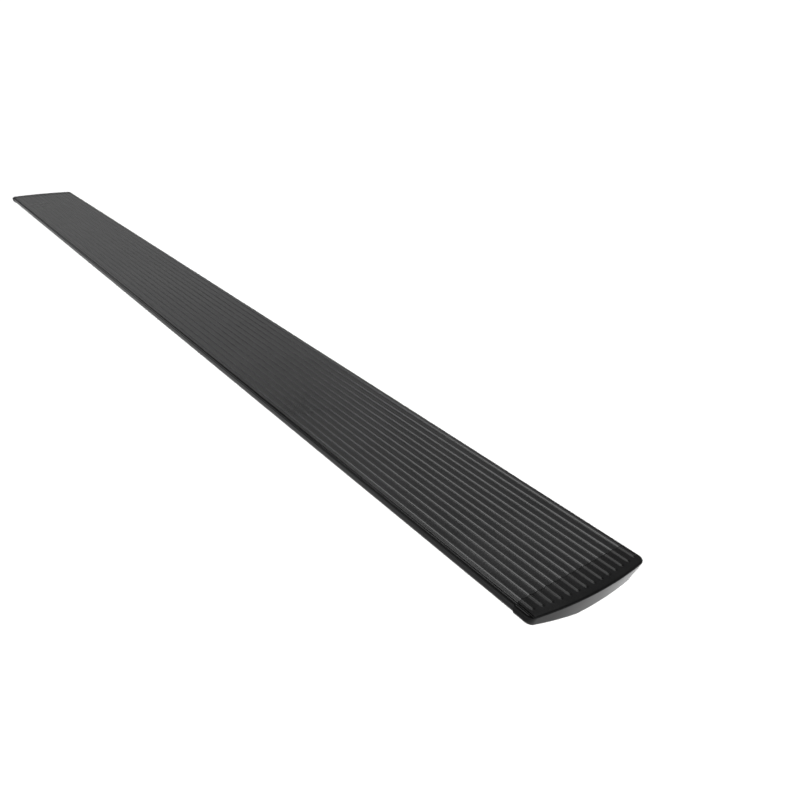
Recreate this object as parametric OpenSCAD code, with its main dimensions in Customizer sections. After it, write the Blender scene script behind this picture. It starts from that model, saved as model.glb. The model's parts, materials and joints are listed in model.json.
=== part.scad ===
// Running board: a ribbed aluminium extrusion with a moulded cap on each end, held by tapping screws
// from below, and six M8 T-bolts that slide in two channels under the deck to meet the brackets.
// X runs along the board, -Y is its nose, +Y faces the vehicle, and z = 0 is the caps' underside.

/* [Board] */
// Overall length, over the crowns of both end caps
board_len = 2090; // [1900:10:2300]
// Overall width, over the end caps
board_w = 161; // [161:1:168]
// Height of the tread's flat above the caps' underside
board_h = 33.5; // [33.5:0.5:36]
// How far the caps stand out past the extrusion's nose and belly
cap_proud = 1; // [0.6:0.1:1.4]

/* [Tread] */
// Number of tread ribs
rib_count = 14; // [6:1:14]
// Distance from rib to rib
rib_pitch = 11.04; // [10.5:0.02:11.1]
// Distance from the extrusion's nose to the first rib's middle
rib_start = 10; // [9:0.5:10.5]
// Width of a rib at its foot
rib_w = 4.4; // [3.6:0.1:5]
// Height of a rib above the tread's flat
rib_h = 1.1; // [0.8:0.1:1.4]

/* [Extrusion] */
// Thickness of the deck, the nose skin and the belly skin
skin_t = 3; // [2.6:0.1:3.4]
// Thickness of the upright webs inside
web_t = 3; // [2:0.1:3]
// Radius of the nose's lower rounding
nose_r = 6.5; // [6:0.1:7]
// Radius of the nose's upper rounding
shoulder_r = 4; // [3.6:0.1:4.2]
// Distance from the nose to the groove behind it
groove_in = 1.5; // [1.4:0.1:1.8]
// Width of the groove
groove_w = 3; // [2.6:0.1:3.2]
// Depth of the groove
groove_depth = 1.8; // [1:0.1:1.8]
// Depth of the lip on the vehicle side
lip_depth = 12.5; // [11:0.5:13]
// Thickness of the lip
lip_t = 2.8; // [2.4:0.1:3.2]

/* [Bolt channels] */
// Distance between the two T-bolt channels
channel_gap = 42; // [40:1:43]
// Width inside a channel
channel_w = 17; // [16.6:0.1:17.4]
// Height inside a channel
channel_h = 7; // [6.6:0.1:7.4]
// Width of a channel's mouth
mouth_w = 9; // [8.6:0.1:10]
// Thickness of the skin that the bolts clamp
clamp_t = 3.5; // [3:0.1:3.8]
// Distance from the middle bolt station to the others
station_gap = 700; // [500:10:700]

/* [End caps] */
// Length of a cap past the extrusion, at its crown
cap_len = 33.5; // [32:0.5:36]
// Radius of the bowed end in plan
end_r = 450; // [420:10:600]
// Distance of the end's crown from the board's middle line
crown_y = 15.5; // [5:0.5:18]
// How far the end face leans in from its top edge to its bottom
end_lean = 12.7; // [9:0.1:14]
// Radius of a cap's two corners in plan
corner_r = 9; // [7:0.5:10]
// Thickness of a cap's walls
cap_t = 2.8; // [2.5:0.1:3]
// How far a cap's tongues reach into the extrusion
tongue_len = 28; // [26:1:32]

/* [Hidden] */
$fn = 48;

coat_colour = "#2c2d2e";
cap_colour = "#1b1b1c";
screw_colour = "#141414";
zinc_colour = "#b9bcc0";

// Main planes
half_len = board_len / 2;
seam_x = half_len - cap_len;
nose_y = cap_proud - board_w / 2;
back_y = board_w / 2;
deck_z = board_h;
under_z = deck_z - skin_t;
overcut = 1;
rib_r = (rib_w * rib_w / 4 + rib_h * rib_h) / (2 * rib_h);

// Nose: two roundings, then a straight belly that falls to the foot of the keel web
nose_c = [nose_y + nose_r, deck_z - nose_r];
shoulder_c = [nose_y + shoulder_r, deck_z - shoulder_r];
keel = [nose_y + 66.5, 3.5];
to_keel = keel - nose_c;
belly_dir = atan2(to_keel.y, to_keel.x) - acos(nose_r / norm(to_keel));
belly_out = [cos(belly_dir), sin(belly_dir)];
belly_tilt = belly_dir + 90;

// Webs and leg
keel_web_y = keel.x;
mid_web_y = nose_y + 35;
leg_t = 3;
leg_y = back_y - 18.5;
leg_foot_z = 0.5;

// Platform with its two bolt channels
clamp_top_z = under_z - channel_h;
clamp_z = clamp_top_z - clamp_t;
bay_mid_y = (keel_web_y + leg_y) / 2;
channel_wall = 2.5;
outer_channel_y = bay_mid_y - channel_gap / 2;
inner_channel_y = bay_mid_y + channel_gap / 2;

// Lip on the vehicle side, with a toe turned inward
lip_toe = 2.4;
lip_toe_t = 2;
edge_chamfer = 0.8;

// T-bolts, washers and nuts
stud_r = 4;
neck_r = 3.8;
head_w = 16;
head_h = 5;
head_lift = 0.1;
washer_r = 8;
washer_hole_r = 4.2;
washer_t = 1.6;
washer_drop = 0.2;
washer_z = clamp_z - washer_drop - washer_t;
nut_flats = 13;
nut_h = 6.5;
nut_face_r = 6.2;
nut_corner_r = 7.6;
nut_chamfer = 0.8;
nut_z = washer_z - nut_h;
stud_tip_z = 1.5;
tip_chamfer = 0.8;

// Cap screws: their row's distance from the seam, and the place of each
screw_in = 14;
screw_ys = [nose_y + 19, nose_y + 49];
screw_r = 2.1;
screw_hole_r = 2.4;
screw_len = 9.5;
screw_tip = 2.5;
screw_tip_r = 0.4;
screw_head_r = 4;
screw_head_h = 2.6;
slot_len = 4.6;
slot_w = 1;
slot_depth = 1.4;
boss_r = 4.6;
boss_h = 6;

// Cap tongues and channel stops
tongue_fit = 0.4;
tongue_t = 2.4;
stop_len = 10;
stop_t = 1.8;

// Cap end: a leaning cone about a far centre, with its top and bottom edges rounded
lean_angle = atan2(end_lean, board_h);
top_edge_r = 2.5;
bottom_edge_r = 4;
sharp_r = end_r + top_edge_r * ((1 + sin(lean_angle)) / cos(lean_angle) - 1);
end_c = [half_len - end_r, crown_y];
inside_r = end_r - 3 * cap_len;
rib_stop = 9.5;
belly_blend_r = 85;
foot_chamfer = 1.2;

// Height of the belly at y, where it is moved out from the skin by d
function belly_z(y, d = 0) =
    nose_c.y + (nose_r + d - (y - nose_c.x) * belly_out.x) / belly_out.y;

// Radius of the end face at height z, moved in by d
function end_face_r(z, d = 0) =
    sharp_r - (deck_z - z) * tan(lean_angle) - d / cos(lean_angle);

// Points of an arc from angle a0 to angle a1
function arc(centre, r, a0, a1, n = 8) =
    [for (i = [0 : n]) centre + r * [cos(a0 + (a1 - a0) * i / n), sin(a0 + (a1 - a0) * i / n)]];

// Centre of an edge rounding of radius r, at height z on the end face
function edge_centre(z, r) = [end_face_r(z) - r / cos(lean_angle), z];

// Runs a (y, z) outline along X from x0 to x1
module along_x(x0, x1) {
    translate([x0, 0, 0])
        rotate([90, 0, 90])
            linear_extrude(height = x1 - x0)
                children();
}

// Rectangle in an outline, from (y0, z0) to (y1, z1)
module rect(y0, z0, y1, z1) {
    translate([y0, z0])
        square([y1 - y0, z1 - z0]);
}

// Nose and keel box, drawn inward from its outer skin by d
module nose_box(d) {
    translate(nose_c)
        circle(r = nose_r - d);
    translate(shoulder_c)
        circle(r = shoulder_r - d);
    polygon([
        [shoulder_c.x, deck_z - d],
        [nose_y + d, shoulder_c.y],
        [nose_y + d, nose_c.y],
        nose_c + (nose_r - d) * belly_out,
        [keel.x, belly_z(keel.x, -d)],
        [keel.x, deck_z - d],
    ]);
}

// One hollow of the nose box, between y0 and y1
module nose_chamber(y0, y1) {
    intersection() {
        nose_box(skin_t);
        rect(y0, 0, y1, deck_z);
    }
}

module tread_ribs() {
    intersection() {
        for (i = [0 : rib_count - 1])
            translate([nose_y + rib_start + i * rib_pitch, deck_z + rib_h - rib_r])
                circle(r = rib_r);
        rect(-board_w, deck_z - overcut, board_w, deck_z + board_h);
    }
}

module groove() {
    rect(nose_y + groove_in, deck_z - groove_depth, nose_y + groove_in + groove_w, deck_z + overcut);
}

// Everything outside the extrusion's hollows
module extrusion_outline() {
    nose_box(0);
    tread_ribs();
    rect(keel_web_y - web_t, clamp_z, leg_y + leg_t, deck_z);
    rect(leg_y, leg_foot_z, leg_y + leg_t, deck_z);
    // deck behind the leg, the lip and its toe
    polygon([
        [leg_y, deck_z],
        [leg_y, under_z],
        [back_y - lip_t, under_z],
        [back_y - lip_t, deck_z - lip_depth + lip_toe_t],
        [back_y - lip_t - lip_toe, deck_z - lip_depth + lip_toe_t],
        [back_y - lip_t - lip_toe, deck_z - lip_depth],
        [back_y, deck_z - lip_depth],
        [back_y, deck_z - edge_chamfer],
        [back_y - edge_chamfer, deck_z],
    ]);
}

module extrusion_hollows() {
    wall = channel_w / 2 + channel_wall;
    nose_chamber(nose_y, mid_web_y - web_t);
    nose_chamber(mid_web_y, keel_web_y - web_t);
    rect(keel_web_y, clamp_top_z, outer_channel_y - wall, under_z);
    rect(outer_channel_y + wall, clamp_top_z, inner_channel_y - wall, under_z);
    rect(inner_channel_y + wall, clamp_top_z, leg_y, under_z);
    for (y = [outer_channel_y, inner_channel_y]) {
        rect(y - channel_w / 2, clamp_top_z, y + channel_w / 2, under_z);
        rect(y - mouth_w / 2, clamp_z - overcut, y + mouth_w / 2, clamp_top_z + overcut);
    }
    groove();
}

// Puts its child on the seat of each screw of the front cap: +Z goes into the board
module at_cap_screws() {
    for (y = screw_ys)
        translate([seam_x - screw_in, y, belly_z(y)])
            rotate([belly_tilt, 0, 0])
                children();
    translate([seam_x - screw_in, bay_mid_y, clamp_z])
        children();
}

module board_extrusion() {
    color(coat_colour)
        difference() {
            along_x(-seam_x, seam_x)
                difference() {
                    extrusion_outline();
                    extrusion_hollows();
                }
            for (end = [0, 1])
                mirror([end, 0, 0])
                    at_cap_screws()
                        translate([0, 0, -overcut])
                            cylinder(h = clamp_t + 2 * overcut, r = screw_hole_r);
        }
}

// Cap outline seen along the board, drawn inward by d: shoulder, nose, belly, flat foot and back
module cap_outline(d) {
    out = cap_proud - d;
    blend_y = nose_c.x
        + (nose_r + cap_proud - belly_blend_r - (belly_blend_r - nose_c.y) * belly_out.y) / belly_out.x;
    polygon(concat(
        arc(shoulder_c, shoulder_r + out, 180 - asin((shoulder_r - d) / (shoulder_r + out)), 180, 5),
        arc(nose_c, nose_r + out, 180, 360 + belly_dir),
        arc([blend_y, belly_blend_r], belly_blend_r - d, belly_dir, -90),
        [[back_y - d - foot_chamfer, d], [back_y - d, d + foot_chamfer]],
        [[back_y - d, deck_z - d - edge_chamfer], [back_y - d - edge_chamfer, deck_z - d]]
    ));
}

// Solid of revolution that shapes a cap's end: the outside has rounded edges
module end_turning() {
    translate(end_c)
        rotate_extrude($fn = 256)
            polygon(concat(
                [[inside_r, 0]],
                arc(edge_centre(bottom_edge_r, bottom_edge_r), bottom_edge_r, -90, -lean_angle),
                arc(edge_centre(deck_z - top_edge_r, top_edge_r), top_edge_r, -lean_angle, 90),
                [[inside_r, deck_z]]
            ));
}

// The same, a wall's thickness in
module end_hollow() {
    z0 = -overcut;
    z1 = deck_z + overcut;
    translate([end_c.x, end_c.y, z0])
        cylinder(h = z1 - z0, r1 = end_face_r(z0, cap_t), r2 = end_face_r(z1, cap_t), $fn = 256);
}

// Cap in plan with its two corners rounded, drawn inward by d
module cap_plan(d) {
    side_y = board_w / 2 - corner_r;
    start_x = seam_x - 2 * overcut;
    intersection() {
        translate(end_c)
            circle(r = end_r + overcut - d, $fn = 256);
        translate([start_x, -side_y])
            square([2 * cap_len, 2 * side_y]);
    }
    for (side = [-1, 1]) {
        across = side * side_y - crown_y;
        corner_x = end_c.x + sqrt(pow(end_r - corner_r, 2) - across * across);
        translate([corner_x, side * side_y])
            circle(r = corner_r - d);
        translate([start_x, side > 0 ? 0 : -board_w])
            square([corner_x - start_x, board_w]);
    }
}

// A cap's outside
module cap_body() {
    intersection() {
        along_x(seam_x, half_len + overcut)
            cap_outline(0);
        end_turning();
        linear_extrude(height = deck_z)
            cap_plan(0);
    }
}

// The hollow inside its walls, open towards the extrusion
module cap_hollow() {
    intersection() {
        along_x(seam_x - overcut, half_len)
            cap_outline(cap_t);
        end_hollow();
        linear_extrude(height = deck_z)
            cap_plan(cap_t);
    }
}

// Short ribs that carry the tread over a cap and stop in line with its end
module cap_ribs() {
    intersection() {
        along_x(seam_x, half_len)
            tread_ribs();
        translate(end_c)
            cylinder(h = 2 * board_h, r = end_r - rib_stop, $fn = 256);
    }
}

// Cross-section of a tongue that fills a nose chamber from y0 to y1, drawn inward by d
module nose_tongue(y0, y1, d) {
    polygon([
        [y0 + d, belly_z(y0 + d, -skin_t - d)],
        [y1 - d, belly_z(y1 - d, -skin_t - d)],
        [y1 - d, under_z - d],
        [y0 + d, under_z - d],
    ]);
}

// Tongue and stop cross-sections, drawn inward by d
module tongues(d) {
    wall = channel_w / 2 + channel_wall;
    nose_tongue(nose_y + 8, mid_web_y - web_t, d);
    nose_tongue(mid_web_y, keel_web_y - web_t, d);
    rect(outer_channel_y + wall + d, clamp_top_z + d, inner_channel_y - wall - d, under_z - d);
}

module stops(d) {
    for (y = [outer_channel_y, inner_channel_y])
        rect(y - channel_w / 2 + d, clamp_top_z + d, y + channel_w / 2 - d, under_z - d);
}

// Hollow tongues and channel stops, run out to a cap's end wall: a stop is closed where the bolts meet it
module cap_tongues() {
    intersection() {
        union() {
            along_x(seam_x - tongue_len, half_len)
                difference() {
                    tongues(tongue_fit);
                    tongues(tongue_fit + tongue_t);
                }
            difference() {
                along_x(seam_x - stop_len, half_len)
                    stops(tongue_fit);
                along_x(seam_x - stop_len + stop_t, half_len)
                    stops(tongue_fit + stop_t);
            }
            intersection() {
                at_cap_screws()
                    cylinder(h = skin_t + boss_h, r = boss_r);
                along_x(seam_x - tongue_len, seam_x)
                    tongues(tongue_fit);
            }
        }
        translate([end_c.x, end_c.y, 0])
            cylinder(h = deck_z, r1 = end_face_r(0, cap_t / 2), r2 = end_face_r(deck_z, cap_t / 2), $fn = 256);
    }
}

module front_end_cap() {
    color(cap_colour)
        difference() {
            union() {
                difference() {
                    union() {
                        cap_body();
                        cap_ribs();
                    }
                    cap_hollow();
                }
                cap_tongues();
            }
            along_x(seam_x - overcut, half_len + overcut)
                groove();
            at_cap_screws()
                cylinder(h = screw_len, r = screw_r);
        }
}

module rear_end_cap() {
    mirror([1, 0, 0])
        front_end_cap();
}

// Pan-head tapping screw with a cross slot, its head below z = 0
module tapping_screw() {
    difference() {
        translate([0, 0, -screw_head_h])
            cylinder(h = screw_head_h, r = screw_head_r);
        for (turn = [0, 90])
            rotate(turn)
                translate([-slot_len / 2, -slot_w / 2, -screw_head_h - overcut])
                    cube([slot_len, slot_w, slot_depth + overcut]);
    }
    cylinder(h = screw_len - screw_tip, r = screw_r);
    translate([0, 0, screw_len - screw_tip])
        cylinder(h = screw_tip, r1 = screw_r, r2 = screw_tip_r);
}

module front_cap_screws() {
    color(screw_colour)
        at_cap_screws()
            tapping_screw();
}

module rear_cap_screws() {
    mirror([1, 0, 0])
        front_cap_screws();
}

// Square-headed channel bolt: bare neck through the nut, full thread on the free end
module t_bolt(x, y) {
    color(zinc_colour)
        translate([x, y, 0]) {
            translate([-head_w / 2, -head_w / 2, clamp_top_z + head_lift])
                cube([head_w, head_w, head_h]);
            translate([0, 0, nut_z])
                cylinder(h = clamp_top_z + head_lift - nut_z, r = neck_r);
            translate([0, 0, stud_tip_z + tip_chamfer])
                cylinder(h = nut_z - stud_tip_z - tip_chamfer, r = stud_r);
            translate([0, 0, stud_tip_z])
                cylinder(h = tip_chamfer, r1 = stud_r - tip_chamfer, r2 = stud_r);
        }
}

module washer(x, y) {
    color(zinc_colour)
        translate([x, y, washer_z])
            difference() {
                cylinder(h = washer_t, r = washer_r);
                translate([0, 0, -overcut])
                    cylinder(h = washer_t + 2 * overcut, r = washer_hole_r);
            }
}

// Hex nut with its corners turned back on both faces
module nut(x, y) {
    color(zinc_colour)
        translate([x, y, nut_z])
            difference() {
                intersection() {
                    cylinder(h = nut_h, r = nut_flats / 2 / cos(30), $fn = 6);
                    union() {
                        cylinder(h = nut_chamfer, r1 = nut_face_r, r2 = nut_corner_r);
                        translate([0, 0, nut_chamfer])
                            cylinder(h = nut_h - 2 * nut_chamfer, r = nut_corner_r);
                        translate([0, 0, nut_h - nut_chamfer])
                            cylinder(h = nut_chamfer, r1 = nut_corner_r, r2 = nut_face_r);
                    }
                }
                translate([0, 0, -overcut])
                    cylinder(h = nut_h + 2 * overcut, r = neck_r);
            }
}

board_extrusion();
front_end_cap();
rear_end_cap();
front_cap_screws();
rear_cap_screws();
t_bolt(station_gap, outer_channel_y);  // front_outer_t_bolt
washer(station_gap, outer_channel_y);  // front_outer_washer
nut(station_gap, outer_channel_y);  // front_outer_nut
t_bolt(station_gap, inner_channel_y);  // front_inner_t_bolt
washer(station_gap, inner_channel_y);  // front_inner_washer
nut(station_gap, inner_channel_y);  // front_inner_nut
t_bolt(0, outer_channel_y);  // middle_outer_t_bolt
washer(0, outer_channel_y);  // middle_outer_washer
nut(0, outer_channel_y);  // middle_outer_nut
t_bolt(0, inner_channel_y);  // middle_inner_t_bolt
washer(0, inner_channel_y);  // middle_inner_washer
nut(0, inner_channel_y);  // middle_inner_nut
t_bolt(-station_gap, outer_channel_y);  // rear_outer_t_bolt
washer(-station_gap, outer_channel_y);  // rear_outer_washer
nut(-station_gap, outer_channel_y);  // rear_outer_nut
t_bolt(-station_gap, inner_channel_y);  // rear_inner_t_bolt
washer(-station_gap, inner_channel_y);  // rear_inner_washer
nut(-station_gap, inner_channel_y);  // rear_inner_nut
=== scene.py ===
import json
import math

import bmesh
import bpy
from mathutils import Matrix, Vector
from mathutils.geometry import tessellate_polygon


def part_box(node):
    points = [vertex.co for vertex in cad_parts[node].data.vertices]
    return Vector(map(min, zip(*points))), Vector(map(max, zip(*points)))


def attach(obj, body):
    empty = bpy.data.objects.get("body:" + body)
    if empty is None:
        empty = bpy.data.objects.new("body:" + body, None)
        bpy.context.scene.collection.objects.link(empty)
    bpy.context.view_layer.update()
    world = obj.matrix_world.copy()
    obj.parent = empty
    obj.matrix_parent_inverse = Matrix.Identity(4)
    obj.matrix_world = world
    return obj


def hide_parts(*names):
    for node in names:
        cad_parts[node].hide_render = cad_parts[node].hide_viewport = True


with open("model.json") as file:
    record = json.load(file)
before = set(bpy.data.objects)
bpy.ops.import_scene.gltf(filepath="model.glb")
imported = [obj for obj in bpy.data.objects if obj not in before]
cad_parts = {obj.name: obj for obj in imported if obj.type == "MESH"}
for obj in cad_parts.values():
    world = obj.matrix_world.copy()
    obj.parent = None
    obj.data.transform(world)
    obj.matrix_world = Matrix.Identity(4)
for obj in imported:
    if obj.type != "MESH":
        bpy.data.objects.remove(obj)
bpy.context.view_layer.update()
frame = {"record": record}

MM = 0.001


def box_mm(node):
    """Lowest and highest corners of a CAD node, in millimetres to a tenth."""
    return [Vector(round(v / MM, 1) for v in corner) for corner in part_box(node)]


# ---------------------------------------------------------------- sizes, in millimetres
ext_low, ext_high = box_mm("board_extrusion")
cap_low, cap_high = box_mm("front_end_cap")
SEAM_X = ext_high.x
HALF_LEN = cap_high.x
NOSE_Y = ext_low.y
BACK_Y = ext_high.y
CAP_NOSE_Y = cap_low.y
PROUD = NOSE_Y - CAP_NOSE_Y  # how far the caps stand out past the extrusion
LEG_FOOT_Z = ext_low.z

RIB_COUNT = 14
RIB_PITCH = 11.04
RIB_START = 10
RIB_W = 4.4
RIB_H = 1.1
RIB_R = (RIB_W**2 / 4 + RIB_H**2) / (2 * RIB_H)
DECK_Z = ext_high.z - RIB_H

SKIN = 3
WEB = 3
NOSE_R = 6.5
SHOULDER_R = 4
NOSE_C = Vector((NOSE_Y + NOSE_R, DECK_Z - NOSE_R))
SHOULDER_C = Vector((NOSE_Y + SHOULDER_R, DECK_Z - SHOULDER_R))
KEEL = Vector((NOSE_Y + 66.5, 3.5))  # where the belly ends, at the keel web's foot
to_keel = KEEL - NOSE_C
BELLY_DIR = math.atan2(to_keel.y, to_keel.x) - math.acos(NOSE_R / to_keel.length)
BELLY_OUT = Vector((math.cos(BELLY_DIR), math.sin(BELLY_DIR)))
BELLY_TILT = BELLY_DIR + math.pi / 2
GROOVE = (NOSE_Y + 1.5, NOSE_Y + 4.5)
GROOVE_DEPTH = 1.8
MID_WEB_Y = NOSE_Y + 35
UNDER_Z = DECK_Z - SKIN
LEG_Y = BACK_Y - 18.5
LIP_T = 2.8
LIP_DEPTH = 12.5
LIP_TOE = 2.4
LIP_TOE_T = 2

CHANNEL_H = 7
CHANNEL_W = 17
MOUTH_W = 9
CHANNEL_WALL = CHANNEL_W / 2 + 2.5  # from a channel's middle to the outside of its wall
CLAMP_T = 3.5
CLAMP_TOP_Z = UNDER_Z - CHANNEL_H
CLAMP_Z = CLAMP_TOP_Z - CLAMP_T
BAY_MID_Y = (KEEL.x + LEG_Y) / 2
CHANNEL_GAP = 42
CHANNEL_YS = (BAY_MID_Y - CHANNEL_GAP / 2, BAY_MID_Y + CHANNEL_GAP / 2)

END_R = 450
END_DRAW = 12.7  # how far the end face leans in from its top edge to its bottom
END_LEAN = math.atan2(END_DRAW, DECK_Z)
END_C = Vector((HALF_LEN - END_R, 15.5))  # centre of the bowed end in plan
TOP_EDGE_R = 1.8
FOOT_EDGE_R = 4
SHARP_R = END_R + TOP_EDGE_R * ((1 + math.sin(END_LEAN)) / math.cos(END_LEAN) - 1)  # before rounding
CAP_T = 2.8
RIB_STOP = 9.5
TONGUE_START_Y = NOSE_Y + 8
TONGUE_LEN = 28
TONGUE_T = 2.4
STOP_LEN = 10
STOP_T = 1.8
TONGUE_FIT = 0.4
BLEND_R = 85  # of the curve that carries the cap's belly down to its foot

SCREW_IN = 14  # from the seam
SCREW_X = SEAM_X - SCREW_IN
SCREW_YS = (NOSE_Y + 19, NOSE_Y + 49)
SCREW_LEN = 9.5


# ---------------------------------------------------------------- mesh helpers
def arc(centre, radius, start, end, steps):
    """Points of an arc, from one angle to another."""
    turns = [start + (end - start) * i / steps for i in range(steps + 1)]
    return [centre + radius * Vector((math.cos(a), math.sin(a))) for a in turns]


def rounded(corners, steps=4):
    """Closed outline from (y, z, radius) corners, each rounded by an arc of its own radius."""
    outline = []
    for i, (y, z, radius) in enumerate(corners):
        here = Vector((y, z))
        if not radius:
            outline.append(here)
            continue
        back = (Vector(corners[i - 1][:2]) - here).normalized()
        ahead = (Vector(corners[(i + 1) % len(corners)][:2]) - here).normalized()
        half = back.angle(ahead) / 2
        centre = here + (back + ahead).normalized() * radius / math.sin(half)
        first = here + back * radius / math.tan(half) - centre
        last = here + ahead * radius / math.tan(half) - centre
        start = math.atan2(first.y, first.x)
        sweep = (math.atan2(last.y, last.x) - start + math.pi) % math.tau - math.pi
        outline += arc(centre, radius, start, start + sweep, steps)
    return outline


def new_object(name, bm, smooth_deg=35):
    """An object from a bmesh drawn in millimetres, smooth but for edges sharper than smooth_deg."""
    bmesh.ops.scale(bm, vec=(MM, MM, MM), verts=bm.verts)
    mesh = bpy.data.meshes.new(name)
    bm.to_mesh(mesh)
    bm.free()
    mesh.shade_smooth()
    mesh.set_sharp_from_angle(angle=math.radians(smooth_deg))
    piece = bpy.data.objects.new(name, mesh)
    bpy.context.scene.collection.objects.link(piece)
    return piece


def add_prism(bm, outlines, x0, x1):
    """Runs (y, z) outlines along X: the first is the outside, the others are hollows."""
    rings = []
    for k, outline in enumerate(outlines):
        area = sum(a.cross(b) for a, b in zip(outline, outline[1:] + outline[:1]))
        if (area > 0) == (k > 0):
            outline = outline[::-1]
        near = [bm.verts.new((x0, p.x, p.y)) for p in outline]
        far = [bm.verts.new((x1, p.x, p.y)) for p in outline]
        rings.append((near, far))
        for i in range(len(outline)):
            j = (i + 1) % len(outline)
            bm.faces.new((near[i], near[j], far[j], far[i]))
    for side in (0, 1):
        flat = [v for ring in rings for v in ring[side]]
        fills = tessellate_polygon([[(v.co.y, v.co.z, 0) for v in r[side]] for r in rings])
        for fill in fills:
            bm.faces.new([flat[i] for i in fill])
    bmesh.ops.recalc_face_normals(bm, faces=bm.faces)


def add_lathe(bm, profile, steps=48):
    """Turns an (r, z) profile about Z. A point on the axis closes the solid."""
    rings = []
    for r, z in profile:
        if r < 1e-6:
            rings.append([bm.verts.new((0, 0, z))] * steps)
            continue
        turns = [math.tau * k / steps for k in range(steps)]
        rings.append([bm.verts.new((r * math.cos(a), r * math.sin(a), z)) for a in turns])
    closed = profile[0][0] > 1e-6
    for i in range(len(rings) if closed else len(rings) - 1):
        low, high = rings[i], rings[(i + 1) % len(rings)]
        for k in range(steps):
            n = (k + 1) % steps
            corners = [low[k], low[n], high[n], high[k]]
            face = [v for m, v in enumerate(corners) if v is not corners[m - 1]]
            if len(face) > 2:
                bm.faces.new(face)
    bmesh.ops.recalc_face_normals(bm, faces=bm.faces)


def lathe(profile, steps=48):
    """A new bmesh with one turned solid."""
    bm = bmesh.new()
    add_lathe(bm, profile, steps)
    return bm


def prism(outlines, x0, x1):
    """A new bmesh with one prism."""
    bm = bmesh.new()
    add_prism(bm, outlines, x0, x1)
    return bm


def combined(base, others, operation):
    """Boolean of closed bmeshes. All of them are used up, and the result is a new bmesh."""
    objects = []
    for bm in [base, *others]:
        mesh = bpy.data.meshes.new("scratch")
        bm.to_mesh(mesh)
        bm.free()
        objects.append(bpy.data.objects.new("scratch", mesh))
        bpy.context.scene.collection.objects.link(objects[-1])
    for other in objects[1:]:
        cut = objects[0].modifiers.new("cut", "BOOLEAN")
        cut.operation = operation
        cut.solver = "EXACT"
        cut.object = other
    view = bpy.context.evaluated_depsgraph_get()
    result = bmesh.new()
    result.from_mesh(objects[0].evaluated_get(view).to_mesh())
    for scratch in objects:
        mesh = scratch.data
        bpy.data.objects.remove(scratch)
        bpy.data.meshes.remove(mesh)
    bmesh.ops.remove_doubles(result, verts=result.verts, dist=1e-4)
    return result


# ---------------------------------------------------------------- materials
def node_material(name):
    """A material with one Principled shader, and the object's own coordinates in metres."""
    material = bpy.data.materials.new(name)
    material.use_nodes = True
    tree = material.node_tree
    shader = tree.nodes["Principled BSDF"]
    place = tree.nodes.new("ShaderNodeTexCoord").outputs["Object"]
    return material, tree, shader, place


def noise(tree, place, scale, detail=3.0, roughness=0.5, distortion=0.0):
    texture = tree.nodes.new("ShaderNodeTexNoise")
    texture.inputs["Scale"].default_value = scale
    texture.inputs["Detail"].default_value = detail
    texture.inputs["Roughness"].default_value = roughness
    texture.inputs["Distortion"].default_value = distortion
    tree.links.new(place, texture.inputs["Vector"])
    return texture.outputs["Fac"]


def ramp(tree, value, stops):
    """Colours, or greys, spread over a value from 0 to 1."""
    node = tree.nodes.new("ShaderNodeValToRGB")
    band = node.color_ramp
    while len(band.elements) < len(stops):
        band.elements.new(0.5)
    for element, (at, colour) in zip(band.elements, stops):
        element.position = at
        element.color = (*colour, 1) if isinstance(colour, tuple) else (colour, colour, colour, 1)
    tree.links.new(value, node.inputs["Fac"])
    return node.outputs["Color"]


def added(tree, a, b, share):
    """a + share * b"""
    node = tree.nodes.new("ShaderNodeMath")
    node.operation = "MULTIPLY_ADD"
    tree.links.new(b, node.inputs[0])
    node.inputs[1].default_value = share
    tree.links.new(a, node.inputs[2])
    return node.outputs["Value"]


def bump(tree, shader, height, distance, strength):
    node = tree.nodes.new("ShaderNodeBump")
    node.inputs["Distance"].default_value = distance
    node.inputs["Strength"].default_value = strength
    tree.links.new(height, node.inputs["Height"])
    tree.links.new(node.outputs["Normal"], shader.inputs["Normal"])


def maths(tree, operation, value, other):
    """A Math node of a socket and a number, or of two sockets."""
    node = tree.nodes.new("ShaderNodeMath")
    node.operation = operation
    tree.links.new(value, node.inputs[0])
    if isinstance(other, float):
        node.inputs[1].default_value = other
    else:
        tree.links.new(other, node.inputs[1])
    return node.outputs["Value"]


# Painted shade: the near-black colour painted into the groove, where shade would fall.
GROOVE_SHADE_COLOUR = (0.0015, 0.0015, 0.0016, 1)
GROOVE_ROUGHNESS = -0.18  # added to the roughness around it
# The painted shade reaches as far under the groove's floor as the smooth finish.
BELOW_GROOVE = 0.3  # how far under the groove's floor the smooth finish reaches


def painted_groove_shade(tree, place, shader, colour, gloss):
    """Painted shade in the groove and on its outer edge, where the colour is mixed to near black; the
    roughness is less there too, where the finish lies smooth.
    """
    split = tree.nodes.new("ShaderNodeSeparateXYZ")
    tree.links.new(place, split.inputs["Vector"])
    beyond = maths(tree, "LESS_THAN", split.outputs["Y"], GROOVE[1] * MM)
    above = maths(tree, "GREATER_THAN", split.outputs["Z"], (DECK_Z - GROOVE_DEPTH - BELOW_GROOVE) * MM)
    groove = maths(tree, "MULTIPLY", beyond, above)
    # painted shade: inside the groove mask the colour is mixed to near black
    mix = tree.nodes.new("ShaderNodeMix")
    mix.data_type = "RGBA"
    tree.links.new(groove, mix.inputs[0])
    tree.links.new(colour, mix.inputs[6])
    mix.inputs[7].default_value = GROOVE_SHADE_COLOUR
    tree.links.new(mix.outputs[2], shader.inputs["Base Color"])
    tree.links.new(added(tree, gloss, groove, GROOVE_ROUGHNESS), shader.inputs["Roughness"])


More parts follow.
